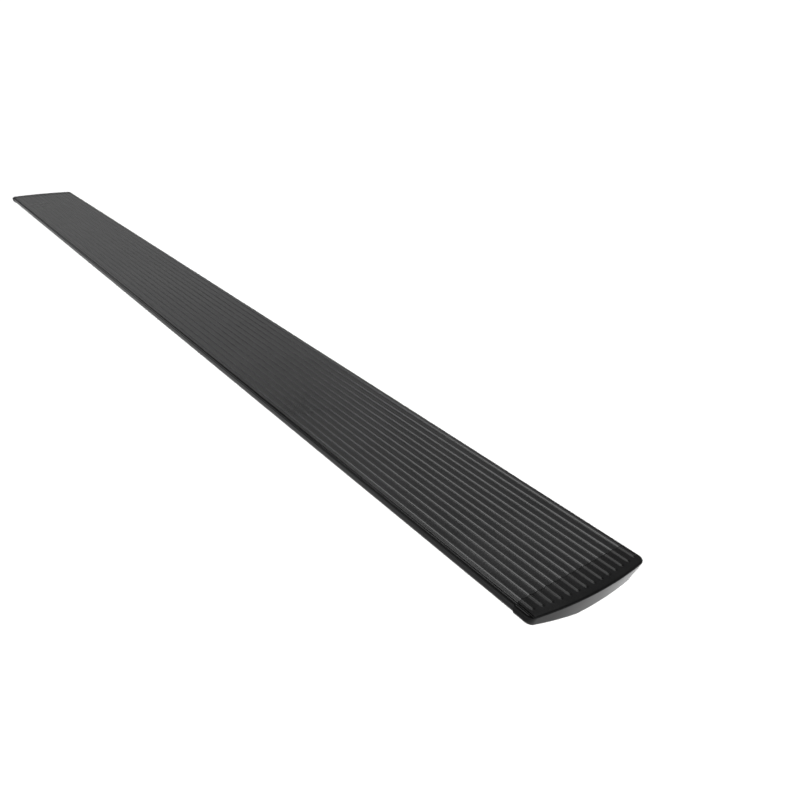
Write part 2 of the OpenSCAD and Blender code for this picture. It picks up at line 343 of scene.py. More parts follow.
def powder_coat():
    """Fine-textured satin black powder coat: a pebbled skin with slow drifts of gloss."""
    material, tree, shader, place = node_material("powder_coat")
    grain = noise(tree, place, 2600, detail=2, roughness=0.6)
    cloud = noise(tree, place, 9, detail=4)
    speck = noise(tree, place, 900, detail=2)
    mixed = added(tree, cloud, speck, 0.35)
    colour = ramp(tree, mixed, [(0.45, (0.0050, 0.0051, 0.0053)), (0.85, (0.0085, 0.0086, 0.0089))])
    gloss = ramp(tree, mixed, [(0.4, 0.26), (0.9, 0.34)])
    # painted shade in the groove, with a smoother finish there
    painted_groove_shade(tree, place, shader, colour, gloss)
    shader.inputs["IOR"].default_value = 1.43
    bump(tree, shader, grain, 0.00004, 0.3)
    return material


def cap_plastic():
    """Moulded black plastic with a fine spark-eroded grain."""
    material, tree, shader, place = node_material("cap_plastic")
    grain = noise(tree, place, 3800, detail=3, roughness=0.7)
    cloud = noise(tree, place, 26, detail=4)
    mixed = added(tree, cloud, grain, 0.25)
    colour = ramp(tree, mixed, [(0.4, (0.0060, 0.0060, 0.0061)), (0.85, (0.0090, 0.0090, 0.0092))])
    gloss = ramp(tree, mixed, [(0.35, 0.27), (0.9, 0.35)])
    # painted shade in the groove, with a smoother finish there
    painted_groove_shade(tree, place, shader, colour, gloss)
    shader.inputs["IOR"].default_value = 1.25
    bump(tree, shader, grain, 0.00003, 0.35)
    return material


def black_steel():
    """Black-coated screws, a little worn where a driver bites."""
    material, tree, shader, place = node_material("black_steel")
    cloud = noise(tree, place, 420, detail=4, distortion=0.4)
    colour = ramp(tree, cloud, [(0.35, (0.010, 0.010, 0.011)), (0.8, (0.035, 0.034, 0.033))])
    tree.links.new(colour, shader.inputs["Base Color"])
    gloss = ramp(tree, cloud, [(0.3, 0.28), (0.8, 0.45)])
    tree.links.new(gloss, shader.inputs["Roughness"])
    shader.inputs["Metallic"].default_value = 0.7
    bump(tree, shader, noise(tree, place, 2500), 0.00002, 0.3)
    return material


def zinc_steel():
    """Bright zinc plate with its faint blue and straw clouds."""
    material, tree, shader, place = node_material("zinc_steel")
    cloud = noise(tree, place, 150, detail=5, distortion=0.8)
    stops = [(0.30, (0.50, 0.53, 0.60)), (0.55, (0.64, 0.65, 0.67)), (0.80, (0.66, 0.63, 0.55))]
    tree.links.new(ramp(tree, cloud, stops), shader.inputs["Base Color"])
    fine = noise(tree, place, 1800, detail=3)
    gloss = ramp(tree, added(tree, cloud, fine, 0.4), [(0.5, 0.20), (0.95, 0.36)])
    tree.links.new(gloss, shader.inputs["Roughness"])
    shader.inputs["Metallic"].default_value = 1.0
    bump(tree, shader, fine, 0.00002, 0.25)
    return material


MATERIALS = {
    "coated_aluminium": powder_coat(),
    "cap_plastic": cap_plastic(),
    "black_steel": black_steel(),
    "zinc_steel": zinc_steel(),
}


def finish_piece(piece, node, slot):
    """Gives a piece its material, and lets it stand for its CAD node on the node's body."""
    piece.data.materials.clear()
    piece.data.materials.append(MATERIALS[slot])
    body = next(b for b, ns in frame["record"]["behaviour"]["bodies"].items() if node in ns)
    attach(piece, body)
    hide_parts(node)


# ---------------------------------------------------------------- extrusion
def belly_z(y, out=0.0):
    """Height of the belly at y, where it is moved out from the skin by out."""
    return NOSE_C.y + (NOSE_R + out - (y - NOSE_C.x) * BELLY_OUT.x) / BELLY_OUT.y


def rib_corners(y):
    """A rib's crown from its inner foot to its outer foot, with a fillet at each foot."""
    centre = Vector((y, DECK_Z + RIB_H - RIB_R))
    foot = math.asin(RIB_W / 2 / RIB_R)
    crown = arc(centre, RIB_R, math.pi / 2 - foot, math.pi / 2 + foot, 12)
    radii = [0.5] + [0] * (len(crown) - 2) + [0.5]
    return [(p.x, p.y, r) for p, r in zip(crown, radii)]


def rib_ys():
    return [NOSE_Y + RIB_START + i * RIB_PITCH for i in range(RIB_COUNT)]


def extrusion_outline():
    """Outside of the extrusion, from its inner top corner over the ribs, nose and belly, and back."""
    corners = [(BACK_Y, DECK_Z, 0.9)]
    for y in reversed(rib_ys()):
        corners += rib_corners(y)
    groove_z = DECK_Z - GROOVE_DEPTH
    corners += [(GROOVE[1], DECK_Z, 0.3), (GROOVE[1], groove_z, 0.4)]
    corners += [(GROOVE[0], groove_z, 0.4)]
    lip = math.acos((GROOVE[0] - SHOULDER_C.x) / SHOULDER_R)
    shoulder = arc(SHOULDER_C, SHOULDER_R, lip, math.pi, 10)
    nose = arc(NOSE_C, NOSE_R, math.pi, math.tau + BELLY_DIR, 12)
    corners += [(p.x, p.y, 0) for p in shoulder + nose]
    corners += [(KEEL.x, belly_z(KEEL.x), 0.8), (KEEL.x, CLAMP_Z, 0.6)]
    for y in CHANNEL_YS:
        mouth, wide = MOUTH_W / 2, CHANNEL_W / 2
        corners += [(y - mouth, CLAMP_Z, 0.4), (y - mouth, CLAMP_TOP_Z, 0.4)]
        corners += [(y - wide, CLAMP_TOP_Z, 0.5), (y - wide, UNDER_Z, 0.6)]
        corners += [(y + wide, UNDER_Z, 0.6), (y + wide, CLAMP_TOP_Z, 0.5)]
        corners += [(y + mouth, CLAMP_TOP_Z, 0.4), (y + mouth, CLAMP_Z, 0.4)]
    inside = BACK_Y - LIP_T
    toe_z = DECK_Z - LIP_DEPTH
    corners += [(LEG_Y, CLAMP_Z, 0.6), (LEG_Y, LEG_FOOT_Z, 0.5)]
    corners += [(LEG_Y + WEB, LEG_FOOT_Z, 0.5), (LEG_Y + WEB, UNDER_Z, 0.8)]
    corners += [(inside, UNDER_Z, 0.8), (inside, toe_z + LIP_TOE_T, 0.4)]
    corners += [(inside - LIP_TOE, toe_z + LIP_TOE_T, 0.5), (inside - LIP_TOE, toe_z, 0.5)]
    corners += [(BACK_Y, toe_z, 0.6)]
    return rounded(corners)


def chamber(y0, y1):
    """A closed hollow behind the nose, between y0 and y1."""
    in_z0, in_z1 = belly_z(y0, -SKIN), belly_z(y1, -SKIN)
    return rounded([(y0, UNDER_Z, 0.8), (y0, in_z0, 0.8), (y1, in_z1, 0.8), (y1, UNDER_Z, 0.8)])


def box_corners(y0, y1, d, radius):
    """The outline of a space between the deck and the clamped skin, drawn inward by d."""
    z0, z1 = CLAMP_TOP_Z + d, UNDER_Z - d
    return rounded([(y0 + d, z0, radius), (y1 - d, z0, radius), (y1 - d, z1, radius), (y0 + d, z1, radius)])


def extrusion_hollows():
    """The two nose chambers, and the closed spaces beside and between the channels."""
    inner = NOSE_R - SKIN
    nose = arc(NOSE_C, inner, math.pi, math.tau + BELLY_DIR, 8)
    web = MID_WEB_Y - WEB
    first = [(SHOULDER_C.x - 1, UNDER_Z, 0.9), *[(p.x, p.y, 0) for p in nose]]
    first += [(web, belly_z(web, -SKIN), 0.8), (web, UNDER_Z, 0.8)]
    hollows = [rounded(first), chamber(MID_WEB_Y, KEEL.x - WEB)]
    outer, inner_y = CHANNEL_YS
    gaps = [(KEEL.x, outer - CHANNEL_WALL), (outer + CHANNEL_WALL, inner_y - CHANNEL_WALL)]
    gaps += [(inner_y + CHANNEL_WALL, LEG_Y)]
    return hollows + [box_corners(y0, y1, 0, 0.6) for y0, y1 in gaps]


def screw_seats(side):
    """Frames of a cap's three screws, each with +Z into the board."""
    seats = []
    for y in SCREW_YS:
        place = Matrix.Translation((side * SCREW_X, y, belly_z(y)))
        seats.append(place @ Matrix.Rotation(BELLY_TILT, 4, "X"))
    seats.append(Matrix.Translation((side * SCREW_X, BAY_MID_Y, CLAMP_Z)))
    return seats


def cylinder(r, z0, z1, place, steps=32):
    """A new bmesh with one cylinder about a frame's Z."""
    bm = lathe([(0, z0), (r, z0), (r, z1), (0, z1)], steps)
    bmesh.ops.transform(bm, matrix=place, verts=bm.verts)
    return bm


SCREW_HOLE_R = 2.4


def board_extrusion():
    """The whole profile, drilled at both ends for the caps' screws."""
    body = prism([extrusion_outline(), *extrusion_hollows()], -SEAM_X, SEAM_X)
    seats = [*screw_seats(-1), *screw_seats(1)]
    holes = [cylinder(SCREW_HOLE_R, -1, SKIN + 1.5, seat) for seat in seats]
    body = combined(body, holes, "DIFFERENCE")
    finish_piece(new_object("tread_extrusion", body), "board_extrusion", "coated_aluminium")


board_extrusion()


# ---------------------------------------------------------------- end caps
CORNER_R = 9
BELLY_EDGE_R = 2.5
CAP_FOOT_R = 1.2
CAP_BACK_R = 0.9
SEAM_GAP = 0.5
BLEND_Y = NOSE_C.x + (NOSE_R + PROUD - BLEND_R - (BLEND_R - NOSE_C.y) * BELLY_OUT.y) / BELLY_OUT.x


def nose_side(z, d):
    """Where the cap's nose, belly or foot is at height z, drawn inward by d."""
    shoulder = Vector((SHOULDER_C.x, SHOULDER_C.y - PROUD))
    if z >= shoulder.y:
        return shoulder.x - math.sqrt(max((SHOULDER_R + PROUD - d) ** 2 - (z - shoulder.y) ** 2, 0))
    nose = NOSE_R + PROUD - d
    if z >= NOSE_C.y:
        return NOSE_C.x - nose
    if z >= NOSE_C.y + nose * BELLY_OUT.y:
        return NOSE_C.x - math.sqrt(nose**2 - (z - NOSE_C.y) ** 2)
    if z >= BLEND_R + (BLEND_R - d) * BELLY_OUT.y:
        return NOSE_C.x + (nose - (z - NOSE_C.y) * BELLY_OUT.y) / BELLY_OUT.x
    return BLEND_Y - math.sqrt(max((BLEND_R - d) ** 2 - (BLEND_R - z) ** 2, 0))


def edge_inset(near, radius):
    """How far a rounding of this radius has drawn a wall in, near from where it ends."""
    return radius - math.sqrt(radius**2 - (radius - near) ** 2) if near < radius else 0


def back_side(z, d):
    """Where the cap's back is at height z, drawn inward by d."""
    return BACK_Y - d - edge_inset(z - d, CAP_FOOT_R) - edge_inset(DECK_Z - d - z, CAP_BACK_R)


def end_radius(z, d):
    """Radius of the bowed end in plan at height z: a leaning face, rounded at its top and its foot."""
    def face(at):
        return SHARP_R - (DECK_Z - at) * math.tan(END_LEAN) - d / math.cos(END_LEAN)
    top, foot = DECK_Z - TOP_EDGE_R, FOOT_EDGE_R
    if not d and z > top - TOP_EDGE_R * math.sin(END_LEAN):
        in_r = face(top) - TOP_EDGE_R / math.cos(END_LEAN)
        return in_r + math.sqrt(max(TOP_EDGE_R**2 - (z - top) ** 2, 0))
    if not d and z < foot - FOOT_EDGE_R * math.sin(END_LEAN):
        in_r = face(foot) - FOOT_EDGE_R / math.cos(END_LEAN)
        return in_r + math.sqrt(max(FOOT_EDGE_R**2 - (z - foot) ** 2, 0))
    return face(z)


def end_slice(z, d):
    """The cap in plan at height z: its end's radius, and each corner's centre, radius and last angle."""
    radius = end_radius(z, d)
    corners = []
    for y, outer in ((nose_side(z, d), CAP_NOSE_Y + d), (back_side(z, d), BACK_Y - d)):
        side = 1 if outer > 0 else -1
        r = max(CORNER_R - d - abs(y - outer), BELLY_EDGE_R)
        across = y - side * r - END_C.y
        centre = END_C + Vector((math.sqrt((radius - r) ** 2 - across**2), across))
        corners.append((centre, r, math.atan2(across, centre.x - END_C.x)))
    return radius, corners


def line_places(ys, z, d):
    """Each line's corner or middle, and how far along it the line is, from its y at height z."""
    places = []
    _, corners = end_slice(z, d)
    (nose_c, nose_r, nose_a), (back_c, back_r, back_a) = corners
    low, high = nose_c.y + nose_r * math.sin(nose_a), back_c.y + back_r * math.sin(back_a)
    for y in ys:
        if y < low:
            turn = math.asin(max((y - nose_c.y) / nose_r, -1))
            places.append((0, (turn + math.pi / 2) / (nose_a + math.pi / 2)))
        elif y > high:
            turn = math.asin(min((y - back_c.y) / back_r, 1))
            places.append((2, (turn - back_a) / (math.pi / 2 - back_a)))
        else:
            places.append((1, (y - low) / (high - low)))
    return places


def end_points(places, z, d):
    """The end's outline in plan at height z, one point for each line."""
    radius, corners = end_slice(z, d)
    (nose_c, nose_r, nose_a), (back_c, back_r, back_a) = corners
    low, high = nose_c.y + nose_r * math.sin(nose_a), back_c.y + back_r * math.sin(back_a)
    points = []
    for part, share in places:
        if part == 1:
            y = low + share * (high - low)
            points.append(Vector((END_C.x + math.sqrt(radius**2 - (y - END_C.y) ** 2), y)))
            continue
        centre, r = (nose_c, nose_r) if part == 0 else (back_c, back_r)
        start = -math.pi / 2 if part == 0 else back_a
        stop = nose_a if part == 0 else math.pi / 2
        turn = start + share * (stop - start)
        points.append(centre + r * Vector((math.cos(turn), math.sin(turn))))
    return points


def rib_height(away):
    """Height of a rib this far from its middle line: a round crown that flows into the deck."""
    flow = 1.9
    if away < flow:
        return math.sqrt(RIB_R**2 - away**2) - (RIB_R - RIB_H)
    crown = math.sqrt(RIB_R**2 - flow**2)
    level = crown - (RIB_R - RIB_H)
    run = 2 * level * crown / flow
    return level * max(1 - (away - flow) / run, 0) ** 2


def spread(values, gap):
    """Sorted values with none closer than gap to the one before."""
    kept = []
    for v in sorted(values):
        if not kept or v - kept[-1] > gap:
            kept.append(v)
    return kept


QUARTER = [math.pi / 2 * k / 8 for k in range(9)]  # the angles of a quarter turn
RING_STEPS = 14
RING_GAP = 0.07
LINE_STEPS = 24
LINE_GAP = 0.05
RIB_LINES = (0, 0.5, 1.0, 1.5, 1.9, 2.1, 2.35, 2.6)  # lines over half a rib, from its middle line
RIB_CLEAR = 0.3  # how far other lines keep from a rib's lines
RIB_RUN_OUT = 1.4  # how many times longer a rib's end is than its side
RIB_TURN = RIB_STOP + 0.7  # how far from the cap's end a rib starts to run out
COLUMNS = (0, 2, 4.5, 6.5, 7.0, 7.3, 7.7, 8.3, 9.1, RIB_TURN)  # from the cap's end inward
FLAT_COLUMNS = 4  # at least this many more toward the seam


def skin_heights(z_low, z_high, outer):
    """Heights of a skin's rings, closer together where the outer skin is rounded."""
    zs = [z_low + (z_high - z_low) * k / RING_STEPS for k in range(RING_STEPS + 1)]
    if outer:
        shoulder, nose = SHOULDER_R + PROUD, NOSE_R + PROUD
        for turn in QUARTER:
            drop = 1 - math.cos(turn)
            zs += [FOOT_EDGE_R * drop, CAP_FOOT_R * drop, z_high - TOP_EDGE_R * drop]
            zs += [z_high - CAP_BACK_R * drop, z_high - shoulder * drop]
            zs.append(NOSE_C.y - nose * math.sin(turn))
    return [z for z in spread(zs, RING_GAP) if z < z_high - LINE_GAP] + [z_high]


def skin_lines(z, d):
    """The y of each line along a skin's deck, closer together at its corners and over its ribs."""
    first, last = nose_side(z, d), back_side(z, d)
    _, ((nose_c, nose_r, _), (back_c, back_r, _)) = end_slice(z, d)
    ys = [nose_c.y - nose_r * math.cos(turn) for turn in QUARTER]
    ys += [back_c.y + back_r * math.cos(turn) for turn in QUARTER]
    ys += [first + (last - first) * k / LINE_STEPS for k in range(LINE_STEPS + 1)]
    if d == 0:
        ribs = [y + side * line for y in rib_ys() for line in RIB_LINES for side in (-1, 1)]
        ys = [y for y in ys if min(abs(y - rib) for rib in ribs) > RIB_CLEAR] + ribs
    inside = [y for y in spread(ys, LINE_GAP) if first + LINE_GAP < y < last - LINE_GAP]
    return [first, *inside, last]


def column_shares(length):
    """How far each column of a line this long is from the seam to the end, from 0 to 1."""
    inset = [u for u in COLUMNS if u < length - 1]
    near = length - inset[-1] - SEAM_GAP
    steps = len(COLUMNS) + FLAT_COLUMNS - len(inset)
    flat = [(SEAM_GAP + near * k / steps) / length for k in range(steps)]
    return [0, *flat, *[1 - u / length for u in reversed(inset)]]


def ring_plan(end, columns):
    """A ring in plan: along the nose side from the seam, round the end, and along the back to the seam."""
    nose = [(SEAM_X + share * (end[0].x - SEAM_X), end[0].y) for share in columns[0]]
    back = [(SEAM_X + share * (end[-1].x - SEAM_X), end[-1].y) for share in columns[-1]]
    return nose + [tuple(p) for p in end[1:]] + back[-2::-1]


def add_flat(bm, ring, end, columns, z, ribbed):
    """A skin's deck or foot, inside its ring. Returns the edge at the seam."""
    count = len(columns[0])
    rows = [ring[:count]]
    for i in range(1, len(columns) - 1):
        row = []
        for share in columns[i][:-1]:
            x = SEAM_X + share * (end[i].x - SEAM_X)
            height = z
            if ribbed:
                short = max(RIB_TURN - (end[i].x - x), 0) / RIB_RUN_OUT
                away = min(abs(end[i].y - y) for y in rib_ys())
                height += rib_height(math.hypot(away, short))
            row.append(bm.verts.new((x, end[i].y, height)))
        rows.append(row + [ring[count - 1 + i]])
    rows.append(ring[-count:][::-1])
    for a, b in zip(rows, rows[1:]):
        for j in range(count - 1):
            bm.faces.new((a[j], a[j + 1], b[j + 1], b[j]))
    return [row[0] for row in rows]


def add_skin(bm, d):
    """One skin of the cap, drawn inward by d and open at the seam. Returns its rim."""
    outer = d == 0
    z_low, z_high = d, DECK_Z - d
    places = line_places(skin_lines(z_high, d), z_high, d)
    columns = [column_shares(end.x - SEAM_X) for end in end_points(places, z_high, d)]
    rings = []
    for z in skin_heights(z_low, z_high, outer):
        plan = ring_plan(end_points(places, z, d), columns)
        rings.append([bm.verts.new((x, y, z)) for x, y in plan])
    for low, high in zip(rings, rings[1:]):
        for k in range(len(low) - 1):
            bm.faces.new((low[k], low[k + 1], high[k + 1], high[k]))

    foot = add_flat(bm, rings[0], end_points(places, z_low, d), columns, z_low, False)
    deck = add_flat(bm, rings[-1], end_points(places, z_high, d), columns, z_high, outer)
    nose = [ring[0] for ring in rings]
    back = [ring[-1] for ring in rings]
    if outer:  # the seam's edge is drawn in all round
        for edge, inward in ((foot, (0, 0, 1)), (deck, (0, 0, -1)), (nose, (0, 1, 0)), (back, (0, -1, 0))):
            for v in edge:
                v.co += Vector(inward) * SEAM_GAP
    return foot + back[1:] + deck[-2::-1] + nose[-2:0:-1]


def cap_shell():
    """Both skins of the cap, joined round the rim at the seam."""
    bm = bmesh.new()
    rims = [add_skin(bm, 0), add_skin(bm, CAP_T)]
    flat = [v for rim in rims for v in rim]
    for fill in tessellate_polygon([[(v.co.y, v.co.z, 0) for v in rim] for rim in rims]):
        bm.faces.new([flat[i] for i in fill])
    bmesh.ops.recalc_face_normals(bm, faces=bm.faces)
    return bm


def tongue_corners(y0, y1, d, radius):
    """A tongue's outline inside a nose chamber, drawn inward by d."""
    first, last, top = y0 + d, y1 - d, UNDER_Z - d
    low = belly_z(first, -SKIN - d)
    lowest = belly_z(last, -SKIN - d)
    return rounded([(first, low, radius), (last, lowest, radius), (last, top, radius), (first, top, radius)])


def wall_x(outline):
    """The furthest a (y, z) outline can run and still end inside the cap's leaning end wall."""
    reach = []
    for p in outline:
        radius = end_radius(p.y, CAP_T / 2)
        reach.append(END_C.x + math.sqrt(radius**2 - (p.x - END_C.y) ** 2))
    return min(reach)


def tongues():
    """Three hollow tongues that plug into the extrusion, and two stops that close its channels."""
    outer, inner = CHANNEL_YS
    made = []
    shapes = [(tongue_corners, TONGUE_START_Y, MID_WEB_Y - WEB)]
    shapes.append((tongue_corners, MID_WEB_Y, KEEL.x - WEB))
    shapes.append((box_corners, outer + CHANNEL_WALL, inner - CHANNEL_WALL))
    for outline, y0, y1 in shapes:
        tube = [outline(y0, y1, TONGUE_FIT, 0.8), outline(y0, y1, TONGUE_FIT + TONGUE_T, 0.5)]
        made.append(prism(tube, SEAM_X - TONGUE_LEN, wall_x(tube[0])))
    for y in CHANNEL_YS:
        y0, y1 = y - CHANNEL_W / 2, y + CHANNEL_W / 2
        plug = box_corners(y0, y1, TONGUE_FIT, 0.6)
        hollow = box_corners(y0, y1, TONGUE_FIT + STOP_T, 0.4)
        solid = prism([plug], SEAM_X - STOP_LEN, wall_x(plug))
        inside = prism([hollow], SEAM_X - STOP_LEN + STOP_T, HALF_LEN)
        made.append(combined(solid, [inside], "DIFFERENCE"))
    return made


def cap_groove():
    """Cutter for the line that carries the extrusion's groove over the cap and out at its end."""
    y0, y1 = GROOVE
    z0, z1 = DECK_Z - GROOVE_DEPTH, DECK_Z + 2
    outline = rounded([(y0, z0, 0.4), (y1, z0, 0.4), (y1, z1, 0), (y0, z1, 0)])
    return prism([outline], SEAM_X - 1, HALF_LEN + 1)


BOSS_R = 4.6
BOSS_ENDS = (SKIN + 0.6, SKIN + 6)
PILOT_R = 1.75


def end_caps():
    """The front cap, and the rear one as its mirror image."""
    shell = cap_shell()
    bosses = [cylinder(BOSS_R, *BOSS_ENDS, seat) for seat in screw_seats(1)]
    shell = combined(shell, [*tongues(), *bosses], "UNION")
    holes = [cylinder(PILOT_R, SKIN - 1, SCREW_LEN, seat) for seat in screw_seats(1)]
    front = combined(shell, [*holes, cap_groove()], "DIFFERENCE")
    rear = front.copy()
    bmesh.ops.scale(rear, vec=(-1, 1, 1), verts=rear.verts)
    bmesh.ops.reverse_faces(rear, faces=rear.faces)
    finish_piece(new_object("front_cap", front), "front_end_cap", "cap_plastic")
    finish_piece(new_object("rear_cap", rear), "rear_end_cap", "cap_plastic")


end_caps()


# ---------------------------------------------------------------- fasteners
THREAD_PLACES = (0, 5 / 16, 7 / 16, 3 / 4)  # root, both sides of the crest, and root again, in pitches


def threaded(major, minor, pitch, z0, z1, limit, steps=30):
    """A rod with a true helical thread about Z, no wider at height z than limit(z)."""
    bm = bmesh.new()
    rows = []
    for row in range(4 * (math.ceil((z1 - z0) / pitch) + 3)):
        turn, part = divmod(row, 4)
        r = major if part in (1, 2) else minor
        line = []
        for k in range(steps):
            z = z0 + pitch * (turn - 2 + THREAD_PLACES[part] + k / steps)
            a = math.tau * k / steps
            reach = max(min(r, limit(z)), 0.05)
            line.append(bm.verts.new((reach * math.cos(a), reach * math.sin(a), z)))
        rows.append(line)
    for low, high in zip(rows, rows[1:]):
        for k in range(steps - 1):
            bm.faces.new((low[k], low[k + 1], high[k + 1], high[k]))
    for row in range(len(rows) - 5):  # where a turn meets the next one, a pitch higher
        bm.faces.new((rows[row][-1], rows[row + 4][0], rows[row + 5][0], rows[row + 1][-1]))
    for z, side in ((z0, -1), (z1, 1)):
        geom = [*bm.verts, *bm.edges, *bm.faces]
        bmesh.ops.bisect_plane(bm, geom=geom, plane_co=(0, 0, z), plane_no=(0, 0, side), clear_outer=True)
    bmesh.ops.holes_fill(bm, edges=[e for e in bm.edges if e.is_boundary], sides=0)
    bmesh.ops.recalc_face_normals(bm, faces=bm.faces)
    return bm


def block(low, high, edge):
    """A box between two corners, with its edges rounded."""
    low, high = Vector(low), Vector(high)
    bm = bmesh.new()
    size = Matrix.Diagonal((*(high - low), 1))
    bmesh.ops.create_cube(bm, size=1, matrix=Matrix.Translation((low + high) / 2) @ size)
    bmesh.ops.bevel(bm, geom=bm.edges[:], offset=edge, segments=3, profile=0.5, affect="EDGES")
    return bm


def hex_prism(across, z0, z1):
    """A six-sided block about Z, this wide across its flats."""
    reach = across / math.sqrt(3)
    turns = [math.tau * k / 6 for k in range(6)]
    corners = [(reach * math.cos(a), reach * math.sin(a)) for a in turns]
    bm = bmesh.new()
    low = [bm.verts.new((x, y, z0)) for x, y in corners]
    high = [bm.verts.new((x, y, z1)) for x, y in corners]
    bm.faces.new(low[::-1])
    bm.faces.new(high)
    for k in range(6):
        n = (k + 1) % 6
        bm.faces.new((low[k], low[n], high[n], high[k]))
    return bm


# The bolts, washers and nuts stand upright at their own heights, and their ends are (low, high).
M8_R = 4.0
M8_ROOT_R = 3.35
M8_PITCH = 1.25
BOLT_TIP_Z = 1.5
BOLT_TIP_R = 3.1
BOLT_HEAD = (23.6, 28.6)
BOLT_HEAD_W = 16
COLLAR_R = 4.5
NUT = (11.7, 18.2)
NUT_ACROSS = 13
NUT_DRESS = (7.7, 0.8)  # radius just past its corners, and height of the cone that dresses them
NUT_PLAY = 0.08
WASHER = (18.2, 19.8)
WASHER_RADII = (4.2, 8)


def t_bolt():
    """Square-headed M8 bolt, head up in the channel, stud hanging down."""
    low, high = BOLT_HEAD
    stud = threaded(M8_R, M8_ROOT_R, M8_PITCH, BOLT_TIP_Z, low + 1, lambda z: BOLT_TIP_R + z - BOLT_TIP_Z)
    half = BOLT_HEAD_W / 2
    head = block((-half, -half, low), (half, half, high), 0.7)
    neck = low - 0.6
    collar = lathe([(0, neck), (M8_R + 0.1, neck), (COLLAR_R, low), (COLLAR_R, low + 0.9), (0, low + 0.9)])
    return combined(head, [stud, collar], "UNION")


def nut():
    """Hex nut with dressed corners and a tapped hole flared at both faces."""
    z0, z1 = NUT
    corner = NUT_ACROSS / 2 - 0.2
    wide, dress_h = NUT_DRESS
    side = [(wide, z0 + dress_h), (wide, z1 - dress_h)]
    dress = lathe([(0, z0), (corner, z0), *side, (corner, z1), (0, z1)], 72)
    body = combined(hex_prism(NUT_ACROSS, z0, z1), [dress], "INTERSECT")
    flare = [lathe([(0, z - 0.9), (3.5, z - 0.9), (4.4, z), (3.5, z + 0.9), (0, z + 0.9)]) for z in NUT]
    crest, root = M8_R + NUT_PLAY, M8_ROOT_R + NUT_PLAY
    thread = threaded(crest, root, M8_PITCH, z0 - 2.7, z1 + 1, lambda z: math.inf)
    return combined(body, [thread, *flare], "DIFFERENCE")


def washer():
    inside, outside = WASHER_RADII
    low, high = WASHER
    corners = [(inside, low, 0.2), (outside, low, 0.35), (outside, high, 0.35), (inside, high, 0.2)]
    return lathe([tuple(p) for p in rounded(corners, 3)], 64)


SCREW_R = 2.1
SCREW_ROOT_R = 1.55
SCREW_PITCH = 1.4
POINT_R = 0.35
POINT_SLOPE = 1.1
SLOT = (2.2, 0.45)  # half its length and half its width
SLOT_FLOOR_Z = -1.1
SLOT_TOP_Z = -3


def cap_screw():
    """Pan-head tapping screw with a cross slot, its seat at z = 0 and its thread up."""
    dome = [(0, -2.6), (1.4, -2.55), (2.6, -2.3), (3.4, -1.8), (3.85, -1.1)]
    rim = [(4.0, -0.5), (4.0, -0.1), (3.9, 0), (0, 0)]
    thread = threaded(SCREW_R, SCREW_ROOT_R, SCREW_PITCH, -0.4, SCREW_LEN,
                      lambda z: POINT_R + POINT_SLOPE * (SCREW_LEN - z), 24)
    head = combined(lathe(dome + rim), [thread], "UNION")
    slots = [block((-x, -y, SLOT_TOP_Z), (x, y, SLOT_FLOOR_Z), 0.15) for x, y in (SLOT, SLOT[::-1])]
    return combined(head, slots, "DIFFERENCE")


def fasteners():
    """Makes each fastener once and copies it to its stations."""
    parts = (("t_bolt", t_bolt()), ("washer", washer()), ("nut", nut()))
    for station in ("front", "middle", "rear"):
        for channel, y in zip(("outer", "inner"), CHANNEL_YS):
            for kind, source in parts:
                node = f"{station}_{channel}_{kind}"
                middle = sum(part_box(node), Vector()).x / 2 / MM
                bm = source.copy()
                bmesh.ops.translate(bm, vec=(middle, y, 0), verts=bm.verts)
                finish_piece(new_object(f"{node}_piece", bm, 30), node, "zinc_steel")
    screw = cap_screw()
    for side, end in ((1, "front"), (-1, "rear")):
        bm = bmesh.new()
        for seat in screw_seats(side):
            one = screw.copy()
            bmesh.ops.transform(one, matrix=seat, verts=one.verts)
            mesh = bpy.data.meshes.new("scratch")
            one.to_mesh(mesh)
            one.free()
            bm.from_mesh(mesh)
            bpy.data.meshes.remove(mesh)
        finish_piece(new_object(f"{end}_screws", bm, 30), f"{end}_cap_screws", "black_steel")


fasteners()


# ---------------------------------------------------------------- camera
CAMERA_AT = Vector((1369.5, -500.8, 512.0)) * MM
CAMERA_YAW = math.radians(142.27)
CAMERA_PITCH = math.radians(-26.56)
CAMERA_ROLL = math.radians(2.36)
LENS = 33.6


def add_camera():
    """The camera, turned to its yaw and pitch and then rolled about its line of sight."""
    flat = math.cos(CAMERA_PITCH)
    look = Vector((flat * math.cos(CAMERA_YAW), flat * math.sin(CAMERA_YAW), math.sin(CAMERA_PITCH)))
    level = Vector((math.sin(CAMERA_YAW), -math.cos(CAMERA_YAW), 0))
    rise = level.cross(look)
    right = math.cos(CAMERA_ROLL) * level + math.sin(CAMERA_ROLL) * rise
    up = -math.sin(CAMERA_ROLL) * level + math.cos(CAMERA_ROLL) * rise
    lens = bpy.data.cameras.new("camera")
    lens.lens = LENS
    lens.sensor_width = 36
    lens.clip_start = 0.01
    lens.clip_end = 200
    camera = bpy.data.objects.new("camera", lens)
    bpy.context.scene.collection.objects.link(camera)
    camera.matrix_world = Matrix.Translation(CAMERA_AT) @ Matrix((right, up, -look)).transposed().to_4x4()
    bpy.context.scene.camera = camera


add_camera()


# ---------------------------------------------------------------- stage and light
FLOOR_DEPTH = 3.0  # in metres, like the places in the shaders
BOUNCE_DEPTH = 3.01
GROUND_HALF = 100000  # in millimetres, like every mesh
BACKDROP_R = 90000


def along(tree, place, direction):
    """How far a place lies along a direction."""
    node = tree.nodes.new("ShaderNodeVectorMath")
    node.operation = "DOT_PRODUCT"
    tree.links.new(place, node.inputs[0])
    node.inputs[1].default_value = direction
    return node.outputs["Value"]


